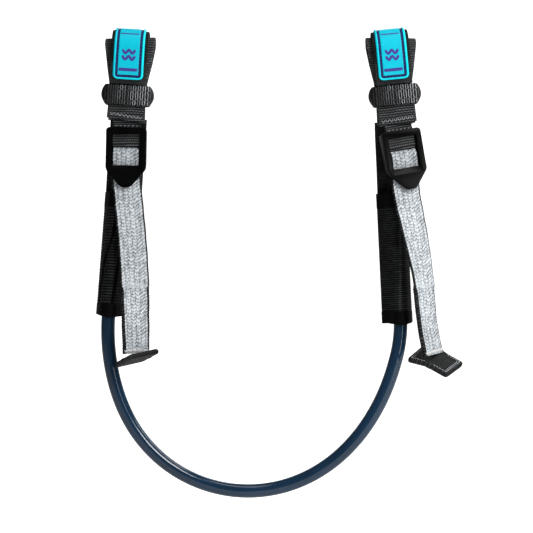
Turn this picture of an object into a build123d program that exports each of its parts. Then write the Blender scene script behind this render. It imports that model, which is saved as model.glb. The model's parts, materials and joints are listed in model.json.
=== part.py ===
from build123d import *
from math import atan, cos, degrees, pi, radians, sin, tan
import os

# Adjustable windsurf harness line, hanging from two hook-and-loop boom loops.
# Millimetres, +Z up. X runs along the boom, the front of the straps faces -Y.
# The origin is on the boom's axis, midway between the two loops.

# ---- driving dimensions ----
LOOP_SPACING = 180.0        # between the two boom loops, along the boom
STRAP_WIDTH = 25.0          # boom strap and carrier strap webbing
STRAP_THICK = 1.6
ADJUST_WIDTH = 19.5         # silver adjusting strap
ADJUST_THICK = 1.8
TUBE_OD = 9.5
TUBE_ID = 6.5
CORE_DIAMETER = 5.0
TRAVEL = 70.0               # how far the line runs out of each sleeve
GAP = 0.3                   # left between bodies that move against each other

# ---- boom loop, seen from the side (Y, Z) ----
EYE_HALF_DEPTH = 7.0        # from the boom axis to the lining, front and back
PAD_THICK = 1.6
PAD_TOP_WIDTH = 34.0
PAD_BASE_WIDTH = 26.0
PAD_TOP = 13.7
LOOP_BACK = 9.5             # centre line of the strap behind the boom
LOOP_FRONT = -12.1          # centre line of the flap in front of the boom
LOOP_TOP = 17.8             # centre line of the strap over the boom
HINGE_ANGLE = 50.0          # where the flap leaves the strap, back from the crown
FLAP_TIP = -18.7
FLAP_BEND = -7.0
TAB_WIDTH = 20.5
TAB_THICK = 1.5
TAB_BOTTOM = -16.0
TAB_BACK_ANGLE = 26.0       # how far the tab reaches over the crown
WAVE_LEVELS = (-1.3, 2.9)    # heights of the raised waves on the tab
WAVE_LENGTH = 4.7
WAVE_RISE = 1.1
MARK_WIDTH = 1.8
MARK_PROUD = 0.35
BAR_LEVELS = (-10.3, -8.1)
HOOK_THICK = 1.2
PILE_THICK = 1.0

# ---- sewn base below the loop ----
BASE_TOP = -19.8
BASE_WIDTH = 25.6
BASE_FRONT = -5.7
KEEPER_TOP = -19.3
KEEPER_HEIGHT = 13.7
KEEPER_WIDTH = 37.0
KEEPER_TRAVEL = 8.0

# ---- ladder-lock buckle ----
BUCKLE_WIDTH = 27.7
BUCKLE_HEIGHT = 41.4
SHOULDER_DROP = 2.8         # from the window's lower edge to the shoulders of the plate
TIP_HALF_WIDTH = 3.4
BUCKLE_FRONT = -9.0
BUCKLE_BACK = -0.6
WALL = 3.85
PLATE_THICK = 2.4
TOP_BAR_HEIGHT = 4.7
WINDOW_HEIGHT = 21.5
BAR_Y = -3.6
ANCHOR_BAR_DROP = 10.7      # below the top of the buckle
ANCHOR_BAR_RADIUS = 1.3
STRAP_BAR_DROP = 17.7
STRAP_BAR_RADIUS = 1.9
ANCHOR_WIDTH = 19.6
ANCHOR_THICK = 1.4
ROOT_DROP = 1.2             # from the sewn base to the line about which the buckle tilts
TILT_Y = -2.3

# ---- sleeve ----
SLEEVE_BORE = 11.2
SLEEVE_TOP = -93.0
SLEEVE_BACK = 6.8
HEM_PROUD = 0.4
LINE_TOP = -100.0           # where the tube ends inside the sleeve
PLUG_HEAD = 3.0
PLUG_SHANK = 10.0

# ---- pull handle ----
HANDLE_WIDTH = 22.0
HANDLE_THICK = 3.2
HANDLE_DROP = 1.4           # from the strap's doubled end down to the handle's top face

# ---- line: corner points of its route, in X and Z, from the left sleeve to the right ----
ROUTE = [
    (-99.0, -100.0), (-106.0, -191.0), (-102.6, -219.0), (-94.6, -243.5),
    (-82.0, -264.1), (-64.6, -281.0), (-43.4, -292.9), (-19.7, -299.0),
    (4.6, -298.7), (27.9, -292.2), (48.9, -280.0), (66.4, -263.2),
    (80.1, -243.1), (90.0, -220.7), (97.2, -193.0), (92.8, -100.0),
]

# ---- what differs between the two ends ----
# Leans are rotations about Y in degrees: positive leans the top towards +X.
# tail holds the silver strap's stations: X, Y, Z and the turn of its face about Z.
SIDES = {
    "left": {
        "loop_x": -LOOP_SPACING / 2,
        "loop_lean": 3.5,
        "base_bottom": -43.5,
        "buckle_top": -48.3,
        "buckle_x": -92.0,
        "buckle_lean": 1.0,
        "buckle_yaw": 0.0,
        "sleeve_x": (-98.5, -105.0),
        "sleeve_z": (-93.0, -178.0),
        "sleeve_reach": (-8.7, 10.0),
        "sleeve_top_hem": 10.5,
        "sleeve_bottom_hem": 8.0,
        "carrier_shift": 3.5,
        "tail": [
            (-92.6, -6.2, -80.6, 0.0), (-90.9, -9.1, -95.0, 2.0), (-87.8, -10.3, -127.0, 5.0),
            (-86.0, -11.3, -156.0, 10.0), (-85.3, -12.3, -181.0, 19.0), (-84.9, -13.0, -197.0, 26.0),
        ],
        "tail_end": (-84.7, -13.3, -203.6, 28.0),
        "handle_across": (0.80, 0.577, 0.145),
        "handle_wings": ((0.406, -0.884, 0.231), (-0.406, 0.884, -0.231)),
        "wing_lengths": (16.0, 16.0),
    },
    "right": {
        "loop_x": LOOP_SPACING / 2,
        "loop_lean": -5.5,
        "base_bottom": -46.0,
        "buckle_top": -50.4,
        "buckle_x": 94.3,
        "buckle_lean": -9.5,
        "buckle_yaw": 12.0,
        "sleeve_x": (92.5, 96.7),
        "sleeve_z": (-93.0, -183.0),
        "sleeve_reach": (-12.1, 8.3),
        "sleeve_top_hem": 10.5,
        "sleeve_bottom_hem": 8.5,
        "carrier_shift": 1.1,
        "tail": [
            (99.2, -5.8, -83.6, 12.0), (101.0, -9.0, -98.0, 15.0), (106.2, -10.8, -124.0, 26.0),
            (111.2, -11.6, -151.0, 40.0), (114.4, -12.4, -181.0, 45.0), (117.2, -13.0, -197.4, 44.0),
        ],
        "tail_end": (118.8, -13.3, -204.0, 44.0),
        "handle_across": (0.577, 0.727, 0.36),
        "handle_wings": ((0.789, -0.435, -0.441), (-0.83, 0.50, 0.20)),
        "wing_lengths": (18.0, 16.0),
    },
}

os.makedirs("parts", exist_ok=True)


# ---- shared shapes ----
def ribbon(points, radii, thick, width):
    """A flat strap of one width, bent along a side view of corner points (Y, Z)."""
    line = FilletPolyline(*points, radius=radii) if radii else Polyline(*points)
    side_view = Plane.YZ * trace(line, line_width=thick)
    return extrude(side_view, amount=width / 2, dir=(1, 0, 0), both=True)


def block(x, y, z):
    """A box between two limits in X, Y and Z."""
    return Pos((x[0] + x[1]) / 2, (y[0] + y[1]) / 2, (z[0] + z[1]) / 2) * Box(
        x[1] - x[0], y[1] - y[0], z[1] - z[0]
    )


def front_cut(outline):
    """A deep block with the given outline in the front view (X, Z)."""
    return extrude(Plane.XZ * outline, amount=60, both=True)


def bar_along_x(y, z, radius, length):
    return Pos(0, y, z) * Rot(0, 90, 0) * Cylinder(radius, length)


def stitch_row(x_limits, y, z, count, size):
    """Short stitches side by side along X, as one group of solids."""
    step = (x_limits[1] - x_limits[0]) / count
    return [
        Pos(x_limits[0] + step * (i + 0.5), y, z) * Box(step * 0.68, size, size)
        for i in range(count)
    ]


# ---- boom loop ----
ARC_Y = (LOOP_BACK + LOOP_FRONT) / 2
ARC_RADIUS = (LOOP_BACK - LOOP_FRONT) / 2
ARC_Z = LOOP_TOP - ARC_RADIUS
HINGE_Y = ARC_Y + (ARC_RADIUS + STRAP_THICK / 2) * sin(radians(HINGE_ANGLE))
HINGE_Z = ARC_Z + (ARC_RADIUS + STRAP_THICK / 2) * cos(radians(HINGE_ANGLE))


def cut_across_fold(strap, angle):
    """Cut a strap over the fold along a radius, angle degrees back from the crown."""
    reach = Pos(0, 0, ARC_RADIUS) * Box(60, GAP, 14)
    slot = Pos(0, ARC_Y, ARC_Z) * Rot(-angle, 0, 0) * reach
    return (strap - slot).solids().sort_by(Axis.Y)


def whole_strap(bottom):
    """The boom strap from the sewn base, up the back, over the boom and down the front."""
    points = [
        (0.3, bottom), (0.3, -20.8), (LOOP_BACK, -5.5), (LOOP_BACK, LOOP_TOP),
        (LOOP_FRONT, LOOP_TOP), (LOOP_FRONT, FLAP_BEND), (-9.0, FLAP_TIP),
    ]
    radii = [4.0, 6.0, ARC_RADIUS - 0.05, ARC_RADIUS - 0.05, 10.0]
    return ribbon(points, radii, STRAP_THICK, STRAP_WIDTH)


def boom_strap(bottom):
    return cut_across_fold(whole_strap(bottom), HINGE_ANGLE)[-1]


def flap(bottom):
    return cut_across_fold(whole_strap(bottom), HINGE_ANGLE)[0]


def boom_pad(bottom):
    half = EYE_HALF_DEPTH + PAD_THICK / 2
    top = PAD_TOP - PAD_THICK / 2
    points = [
        (-3.1, bottom), (-3.1, -20.0), (-half, -7.0), (-half, top),
        (half, top), (half, -5.0), (-1.4, -20.0), (-1.4, bottom),
    ]
    radii = [4.0, 8.0, half - 0.3, half - 0.3, 6.0, 4.0]
    lining = ribbon(points, radii, PAD_THICK, PAD_TOP_WIDTH)
    wide, narrow = PAD_TOP_WIDTH / 2, PAD_BASE_WIDTH / 2
    outline = Polygon(
        (-narrow, bottom - 1), (narrow, bottom - 1), (narrow, -17), (wide, PAD_TOP - 3),
        (wide - 0.5, PAD_TOP + 1), (-wide + 0.5, PAD_TOP + 1), (-wide, PAD_TOP - 3), (-narrow, -17),
        align=None,
    )
    return lining & front_cut(outline)


def pile_patch():
    """Loop pile sewn to the lining's front, where the flap's hooks hold."""
    front = -EYE_HALF_DEPTH - PAD_THICK
    return block((-11, 11), (front - PILE_THICK, front), (-5.5, 5.0))


def hook_patch():
    """Hook tape sewn to the inside of the flap."""
    inside = LOOP_FRONT + STRAP_THICK / 2
    return block((-11, 11), (inside, inside + HOOK_THICK), (-5.5, 6.0))


def tab_ribbon(thick, outward):
    """A layer over the flap, from over the crown down the front."""
    back = LOOP_BACK + outward
    front = LOOP_FRONT - outward
    top = LOOP_TOP + outward
    radius = ARC_RADIUS + outward - 0.05
    points = [
        (back, 0), (back, top), (front, top), (front, FLAP_BEND), (-9.0 - outward, FLAP_TIP),
    ]
    whole = ribbon(points, [radius, radius, 10.0], thick, TAB_WIDTH)
    return cut_across_fold(whole, TAB_BACK_ANGLE)[0]


def tab(bottom):
    """The moulded pull tab sewn to the flap, with rounded lower corners."""
    outward = (STRAP_THICK + TAB_THICK) / 2
    height = 60.0
    outline = Pos(0, TAB_BOTTOM + height / 2) * RectangleRounded(TAB_WIDTH, height, 3.0)
    return (tab_ribbon(TAB_THICK, outward) & front_cut(outline)) - whole_strap(bottom)


def tab_face():
    return LOOP_FRONT - STRAP_THICK / 2 - TAB_THICK


def tab_emblem(bottom):
    """Plain raised marks: a pair of waves over a bar."""
    face = tab_face()
    marks = []
    for level in WAVE_LEVELS:
        crest = [
            (step * WAVE_LENGTH / 2, level + WAVE_RISE * (-1) ** step) for step in range(-2, 3)
        ]
        wave = trace(Polyline(*crest), line_width=MARK_WIDTH)
        marks.append(Pos(0, face, 0) * extrude(Plane.XZ * wave, amount=MARK_PROUD))
    bar = block((-6.5, 6.5), (face - MARK_PROUD, face + 1.0), BAR_LEVELS)
    marks.append(bar - tab(bottom))
    return marks


def tab_stitching():
    """One thread line down each edge of the tab."""
    face = tab_face()
    pitch = 2.2
    count = 5
    return [
        Pos(side * (TAB_WIDTH / 2 - 2.2), face - 0.15, 4.5 - pitch * i) * Box(0.5, 0.3, 1.4)
        for side in (-1, 1)
        for i in range(count)
    ]


# ---- sewn base ----
def base_webbing(bottom):
    """The folded webbing sewn across the front of the strap's layers."""
    return block(
        (-BASE_WIDTH / 2, BASE_WIDTH / 2), (BASE_FRONT, BASE_FRONT + STRAP_THICK), (bottom, BASE_TOP)
    )


def base_stitching(bottom):
    return stitch_row((-11.5, 11.5), BASE_FRONT - 0.15, bottom + 2.6, 9, 0.3)


def keeper():
    """Elastic band round the strap's layers. It slides down to free the flap."""
    middle = Pos(0, -1.4, KEEPER_TOP - KEEPER_HEIGHT)
    outer = RectangleRounded(KEEPER_WIDTH, 15.0, 6.5)
    inner = RectangleRounded(KEEPER_WIDTH - 5.4, 9.8, 3.0)
    return middle * extrude(outer - inner, amount=KEEPER_HEIGHT)


# ---- buckle ----
def buckle_frame(top):
    """Ladder-lock frame: two walls, a top bar, two cross bars and a thumb plate."""
    half = BUCKLE_WIDTH / 2
    window = half - WALL
    window_bottom = top - TOP_BAR_HEIGHT - WINDOW_HEIGHT
    tip = top - BUCKLE_HEIGHT
    wall_view = Polygon(
        (BUCKLE_FRONT, top), (BUCKLE_BACK, top - 2), (BUCKLE_BACK, window_bottom + 2),
        (BUCKLE_FRONT + 0.4, tip + 10), (BUCKLE_FRONT - 1, window_bottom - 4),
        (BUCKLE_FRONT, window_bottom + 3), align=None,
    )
    walls = [
        Pos(side * (half - WALL / 2), 0, 0)
        * extrude(Plane.YZ * wall_view, amount=WALL / 2, both=True)
        for side in (-1, 1)
    ]
    top_bar = block(
        (-window - 1, window + 1), (BUCKLE_FRONT, BUCKLE_FRONT + PLATE_THICK),
        (top - TOP_BAR_HEIGHT, top),
    )
    plate_view = Polygon(
        (BUCKLE_FRONT, window_bottom), (BUCKLE_FRONT + PLATE_THICK, window_bottom),
        (BUCKLE_FRONT + PLATE_THICK - 3, tip - 1), (BUCKLE_FRONT - 3, tip - 1), align=None,
    )
    plate = extrude(Plane.YZ * plate_view, amount=half, both=True)
    anchor_bar = bar_along_x(BAR_Y, top - ANCHOR_BAR_DROP, ANCHOR_BAR_RADIUS, 2 * window + 2)
    strap_bar = bar_along_x(BAR_Y, top - STRAP_BAR_DROP, STRAP_BAR_RADIUS, 2 * window + 2)
    outline = front_cut(buckle_outline(top, window_bottom, tip, half))
    return (walls[0] + walls[1] + top_bar + plate) & outline, anchor_bar + strap_bar


def buckle_outline(top, window_bottom, tip, half):
    """Straight sides, rounded corners above and a rounded point below."""
    corners = Polygon(
        (-half, top), (half, top), (half, window_bottom - SHOULDER_DROP), (TIP_HALF_WIDTH, tip),
        (-TIP_HALF_WIDTH, tip), (-half, window_bottom - SHOULDER_DROP), align=None,
    )
    upper = corners.vertices().group_by(Axis.Y)[-1]
    lower = corners.vertices().group_by(Axis.Y)[0]
    shoulders = corners.vertices().group_by(Axis.Y)[1]
    rounded = fillet(upper, 2.6)
    rounded = fillet([v for v in rounded.vertices() if near_any(v, lower)], 6.0)
    return fillet([v for v in rounded.vertices() if near_any(v, shoulders)], 6.0)


def near_any(vertex, others):
    return any((Vector(vertex) - Vector(other)).length < 0.01 for other in others)


def buckle(top):
    frame, bars = buckle_frame(top)
    return frame + bars


def anchor_webbing(top, root):
    """Webbing looped round the buckle's upper bar and sewn into the base."""
    bar = top - ANCHOR_BAR_DROP
    turn = ANCHOR_BAR_RADIUS + 0.1 + ANCHOR_THICK / 2
    front, back = BAR_Y - turn, BAR_Y + turn
    points = [
        (-3.0, root), (-3.0, root - 1.3), (front, top - 3.0), (front, bar - turn),
        (back, bar - turn), (back, root),
    ]
    radii = [1.2, 2.0, turn - 0.05, turn - 0.05]
    return ribbon(points, radii, ANCHOR_THICK, ANCHOR_WIDTH)


def strap_turn(top):
    """The adjusting strap where it turns over the lower bar and under the thumb plate."""
    bar = top - STRAP_BAR_DROP
    turn = STRAP_BAR_RADIUS + 0.1 + ADJUST_THICK / 2
    front, back = BAR_Y - turn, BAR_Y + turn
    window_bottom = top - TOP_BAR_HEIGHT - WINDOW_HEIGHT
    points = [
        (back, window_bottom), (back, bar + turn), (front, bar + turn),
        (front, bar - 2.5), (-5.3, window_bottom), (-6.4, top - 32.0),
    ]
    radii = [turn - 0.05, turn - 0.05, 3.0, 8.0]
    return ribbon(points, radii, ADJUST_THICK, ADJUST_WIDTH)


# ---- silver strap and pull handle ----
def strap_station(station, width, thick):
    """A cross section of the silver strap, turned about Z at one of its stations."""
    x, y, z, turn = station
    across = (cos(radians(turn)), sin(radians(turn)), 0)
    return Plane((x, y, z), x_dir=across, z_dir=(0, 0, 1)) * Rectangle(width, thick)


def lofted_strap(stations, thick):
    return loft([strap_station(s, ADJUST_WIDTH, thick) for s in stations], ruled=True)


def tail(side):
    """The free tail of the silver strap, from under the buckle to its doubled end."""
    return lofted_strap(side["tail"], ADJUST_THICK)


def tail_end(side):
    """The doubled end of the tail, sewn to the handle."""
    x, y, z, turn = side["tail"][-1]
    start = (x, y, z - GAP, turn)
    doubled = lofted_strap([start, side["tail_end"]], 2 * ADJUST_THICK - 0.2)
    return (doubled - pull_handle(side)).solids().sort_by(Axis.Z)[-1]


def handle_wing(root, across, along, length):
    """One wing of the handle, out from the strap's end along its own direction."""
    across, along = Vector(*across).normalized(), Vector(*along).normalized()
    up = across.cross(along).normalized()
    overlap = HANDLE_THICK / 2
    sheet = Plane(root + along * (length - overlap) / 2, x_dir=across, z_dir=up)
    outline = RectangleRounded(HANDLE_WIDTH, length + overlap, 2.0)
    return sheet * extrude(outline, amount=HANDLE_THICK / 2, both=True)


def pull_handle(side):
    x, y, z, _ = side["tail_end"]
    root = Vector(x, y, z - HANDLE_THICK / 2 - HANDLE_DROP)
    across = side["handle_across"]
    front, back = [
        handle_wing(root, across, along, length)
        for along, length in zip(side["handle_wings"], side["wing_lengths"])
    ]
    return front + back


def live_strap(side):
    """The loaded strap from the buckle to the line's end plug, folded narrow inside the sleeve."""
    bar_back = BAR_Y + STRAP_BAR_RADIUS + 0.1 + ADJUST_THICK / 2
    start = side["buckle_top"] - TOP_BAR_HEIGHT - WINDOW_HEIGHT - GAP
    flat = in_buckle_frame(Pos(0, bar_back, start) * Rectangle(ADJUST_WIDTH - 1, ADJUST_THICK), side)
    folded = Rectangle(9.0, 2 * ADJUST_THICK - 0.2)
    mouth = in_sleeve_frame(Pos(0, 0, SLEEVE_TOP + 2) * folded, side)
    plug = in_sleeve_frame(Pos(0, 0, LINE_TOP + PLUG_HEAD + 0.2) * folded, side)
    return loft([flat, mouth, plug], ruled=True)


# ---- sleeve and carrier strap, about the line's axis ----
def sleeve_section(reach, grow):
    """Cross section: a ridge over the tube, flanks down to a wider back layer."""
    low, high = reach
    back = SLEEVE_BACK + grow
    ridge = [(7.0 + grow, 2.0), (6.7 + grow, -3.4), (3.4, -6.7 - grow)]
    points = [(low - grow, back), (low - grow, 5.0 - grow)]
    points += [(-x, y) for x, y in ridge]
    points += [(x, y) for x, y in reversed(ridge)]
    points += [(high + grow, 5.0 - grow), (high + grow, back)]
    return Polygon(*points, align=None) - Circle(SLEEVE_BORE / 2)


def sleeve_piece(side, low, high, grow):
    section = sleeve_section(side["sleeve_reach"], grow)
    return Pos(0, 0, low) * extrude(section, amount=high - low)


def carrier_strap(side, base_bottom):
    """Carrier webbing from the sewn base down behind the buckle to the sleeve's back."""
    back = SLEEVE_BACK + HEM_PROUD + 0.1 + STRAP_THICK / 2
    points = [(2.0, base_bottom + 2.0), (2.0, base_bottom), (5.2, base_bottom - 7.0),
              (5.2, -78.0), (back, -91.0), (back, -118.0)]
    strap = ribbon(points, [3.0, 4.0, 8.0, 8.0], STRAP_THICK, STRAP_WIDTH)
    return Pos(side["carrier_shift"], 0, 0) * strap


# ---- placing ----
def in_loop_frame(shape, side):
    """Lean a piece of the boom loop about the boom's axis and move it to its end."""
    return Pos(side["loop_x"], 0, 0) * Rot(0, side["loop_lean"], 0) * shape


def in_buckle_frame(shape, side):
    """Turn a piece of the buckle about the top of its anchor webbing."""
    root = side["base_bottom"] - ROOT_DROP
    turn = Rot(0, side["buckle_lean"], 0) * Rot(0, 0, side["buckle_yaw"])
    return Pos(side["buckle_x"], TILT_Y, root) * turn * Pos(0, -TILT_Y, -root) * shape


def sleeve_slope(side):
    (x_top, x_bottom), (z_top, z_bottom) = side["sleeve_x"], side["sleeve_z"]
    return (x_top - x_bottom) / (z_top - z_bottom)


def in_sleeve_frame(shape, side):
    """Lean a piece of the sleeve so that its bore lies on the line's axis."""
    slope = sleeve_slope(side)
    x_at_boom = side["sleeve_x"][0] - slope * side["sleeve_z"][0]
    return Pos(x_at_boom, 0, 0) * Rot(0, degrees(atan(slope)), 0) * shape


# ---- line ----
def route_radii():
    """Each bend's radius: 0.45 of its shorter run over the tangent of half its turn."""
    points = [Vector(x, 0, z) for x, z in ROUTE]
    radii = []
    for before, corner, after in zip(points, points[1:], points[2:]):
        run = min((corner - before).length, (after - corner).length)
        turn = (corner - before).get_angle(after - corner)
        radii.append(0.45 * run / tan(radians(turn / 2)))
    return radii


def line_path(start_trim):
    """The line's centre line; start_trim shortens it equally at both ends."""
    points = [Vector(x, 0, z) for x, z in ROUTE]
    points[0] += (points[1] - points[0]).normalized() * start_trim
    points[-1] += (points[-2] - points[-1]).normalized() * start_trim
    return FilletPolyline(*points, radius=route_radii())


def swept(path, section):
    start = Plane(path @ 0, z_dir=path % 0)
    return sweep(start * section, path=path)


def tube():
    return swept(line_path(0), Circle(TUBE_OD / 2) - Circle(TUBE_ID / 2))


def core_line():
    return swept(line_path(PLUG_SHANK + 1), Circle(CORE_DIAMETER / 2))


def end_plug():
    """Plug in the tube's end that carries the strap. Built about the sleeve's axis."""
    head = Pos(0, 0, LINE_TOP + 0.1 + PLUG_HEAD / 2) * Cylinder(TUBE_OD / 2 - 0.2, PLUG_HEAD)
    shank = Pos(0, 0, LINE_TOP - PLUG_SHANK / 2 + 0.5) * Cylinder(TUBE_ID / 2 - 0.05, PLUG_SHANK + 1)
    return head + shank


# ---- the whole assembly ----
def end_nodes(name, side):
    """Every piece of one end, by node name."""
    base, top = side["base_bottom"], side["buckle_top"]
    bottom = side["sleeve_z"][1]
    ribs_top = SLEEVE_TOP - side["sleeve_top_hem"]
    ribs_bottom = bottom + side["sleeve_bottom_hem"]
    loop_pieces = {
        "boom_strap": boom_strap(base),
        "boom_pad": boom_pad(base),
        "pile_patch": pile_patch(),
        "flap": flap(base),
        "hook_patch": hook_patch(),
        "tab": tab(base),
        "tab_emblem": tab_emblem(base),
        "tab_stitching": tab_stitching(),
        "keeper": keeper(),
        "base_webbing": base_webbing(base),
        "base_stitching": base_stitching(base),
    }
    buckle_pieces = {
        "buckle": buckle(top),
        "anchor_webbing": anchor_webbing(top, base - ROOT_DROP - 0.3),
        "strap_turn": strap_turn(top),
    }
    sleeve_pieces = {
        "carrier_strap": carrier_strap(side, base),
        "sleeve": sleeve_piece(side, ribs_bottom, ribs_top, 0),
        "sleeve_top_hem": sleeve_piece(side, ribs_top, SLEEVE_TOP, HEM_PROUD),
        "sleeve_bottom_hem": sleeve_piece(side, bottom, ribs_bottom, HEM_PROUD),
        "end_plug": end_plug(),
    }
    strap_pieces = {
        "live_strap": live_strap(side),
        "tail": tail(side),
        "tail_end": tail_end(side),
        "pull_handle": pull_handle(side),
    }
    placed = {k: move(v, side, in_loop_frame) for k, v in loop_pieces.items()}
    placed |= {k: move(v, side, in_buckle_frame) for k, v in buckle_pieces.items()}
    placed |= {k: move(v, side, in_sleeve_frame) for k, v in sleeve_pieces.items()}
    placed |= strap_pieces
    return {f"{name}_{k}": v for k, v in placed.items()}


def move(piece, side, frame):
    """Place one shape, or each of a group of separate solids."""
    if isinstance(piece, list):
        return [frame(item, side) for item in piece]
    return frame(piece, side)


def all_nodes():
    nodes = {"tube": tube(), "core_line": core_line()}
    for name, side in SIDES.items():
        nodes |= end_nodes(name, side)
    return nodes


def export(name, piece):
    solids = piece if isinstance(piece, list) else piece.solids()
    solids = [solid for item in solids for solid in item.solids()]
    shape = solids[0] if len(solids) == 1 else Compound(children=solids)
    export_step(shape, f"parts/{name}.step")


def print_summary():
    """Sizes to compare with what the finished part measures."""
    length = line_path(0).length
    section_area = pi * (TUBE_OD**2 - TUBE_ID**2) / 4
    print("tube bend radii:", [round(r, 1) for r in route_radii()])
    print("tube length:", round(length, 1), "section x length:", round(section_area * length, 1))
    print("flap hinge in the loop's frame:", round(HINGE_Y, 2), round(HINGE_Z, 2))
    print("keeper's lowest edge at full travel:", KEEPER_TOP - KEEPER_HEIGHT - KEEPER_TRAVEL)
    for name, side in SIDES.items():
        print(name, "tube left in its sleeve at full travel:", LINE_TOP - side["sleeve_z"][1] - TRAVEL)


print_summary()
for node, piece in all_nodes().items():
    export(node, piece)
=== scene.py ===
"""Looks of an adjustable harness line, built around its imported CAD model.

Shapes are worked out in millimetres and become metres when a mesh is made.
Each end has three local frames: the boom loop's, the buckle's and the sleeve's.
"""
import json
from math import asin, atan, atan2, pi, radians, sin, tan

import bmesh
import bpy
import numpy as np
from mathutils import Matrix, Vector


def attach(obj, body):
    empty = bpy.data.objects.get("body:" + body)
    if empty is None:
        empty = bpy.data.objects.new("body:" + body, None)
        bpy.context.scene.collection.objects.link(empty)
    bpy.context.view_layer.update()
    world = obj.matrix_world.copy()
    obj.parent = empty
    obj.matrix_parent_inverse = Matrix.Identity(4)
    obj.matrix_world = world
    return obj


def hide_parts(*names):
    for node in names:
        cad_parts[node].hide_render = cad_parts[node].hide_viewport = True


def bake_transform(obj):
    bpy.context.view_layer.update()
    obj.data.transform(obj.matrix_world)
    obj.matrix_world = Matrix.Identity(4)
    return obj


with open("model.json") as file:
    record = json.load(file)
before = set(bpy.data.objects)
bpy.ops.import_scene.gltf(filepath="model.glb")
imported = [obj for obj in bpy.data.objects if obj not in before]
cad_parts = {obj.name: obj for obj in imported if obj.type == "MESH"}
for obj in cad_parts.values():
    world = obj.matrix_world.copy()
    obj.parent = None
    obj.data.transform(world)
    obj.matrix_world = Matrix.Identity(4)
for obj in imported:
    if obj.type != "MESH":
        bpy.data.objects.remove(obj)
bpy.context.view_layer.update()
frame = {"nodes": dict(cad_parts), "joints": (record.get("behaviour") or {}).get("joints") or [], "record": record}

MM = 0.001
JOINTS = {joint["name"]: joint for joint in frame["joints"]}
MOUNTS = {mount["name"]: mount for mount in frame["record"]["mounts"]}
WEAVE = "weave"             # mesh attribute: mm across, mm along, height from 0 to 1 that sets painted shade and highlight

# ---- sizes shared with the CAD model ----
STRAP_WIDTH = 25.0
STRAP_THICK = 1.6
ADJUST_WIDTH = 19.5
TUBE_RADIUS = 4.75
LOOP_BACK = 9.5
LOOP_FRONT = -12.1
LOOP_TOP = 17.8
ARC_Y = -1.3
ARC_RADIUS = 10.8
FLAP_TIP = -18.7
FLAP_BEND = -7.0
TAB_WIDTH = 20.5
TAB_THICK = 1.5
TAB_BOTTOM = -16.0
PAD_FACE = 8.6              # from the boom's axis to the lining's outside
PAD_THICK = 1.6
PAD_TOP = 13.7
BASE_TOP = -19.8
BASE_FRONT = -5.7
ROOT_DROP = 1.2
BAR_Y = -3.6
ANCHOR_BAR_DROP = 10.7
STRAP_BAR_DROP = 17.7
WINDOW_DROP = 26.2          # from the buckle's top to its window's lower edge
PLATE_TIP_DROP = 32.0
BAR_TURN = 2.9              # from a bar's middle to the middle of the strap round it
SLEEVE_BACK = 6.8
SLEEVE_BORE = 11.2
HEM_PROUD = 0.4
MOUTH_Z = -91.0             # just above the sleeve's mouth
LINE_TOP_Z = -96.7

# ---- how finely the meshes are made ----
WEAVE_STEP = 0.3            # across a strap
SIDE_STEP = 0.27            # along webbing
KNIT_STEP = 0.28            # along the silver strap and round the keeper
EDGE_POINTS = 5             # round each long edge of a strap
RELIEF_ROOM = 0.16          # taken off webbing's thickness, to leave room for its ribs

# Control points of the line, in metres: the CAD route's corners and one more on each
# long run, where the line leaves its sleeve and starts to bend.
LINE_ROUTE = [
    (-0.0990, -0.1000), (-0.1038, -0.1630), (-0.1060, -0.1910), (-0.1026, -0.2190),
    (-0.0946, -0.2435), (-0.0820, -0.2641), (-0.0646, -0.2810), (-0.0434, -0.2929),
    (-0.0197, -0.2990), (0.0046, -0.2987), (0.0279, -0.2922), (0.0489, -0.2800),
    (0.0664, -0.2632), (0.0801, -0.2431), (0.0900, -0.2207), (0.0972, -0.1930),
    (0.09585, -0.1644), (0.0928, -0.1000),
]

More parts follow.
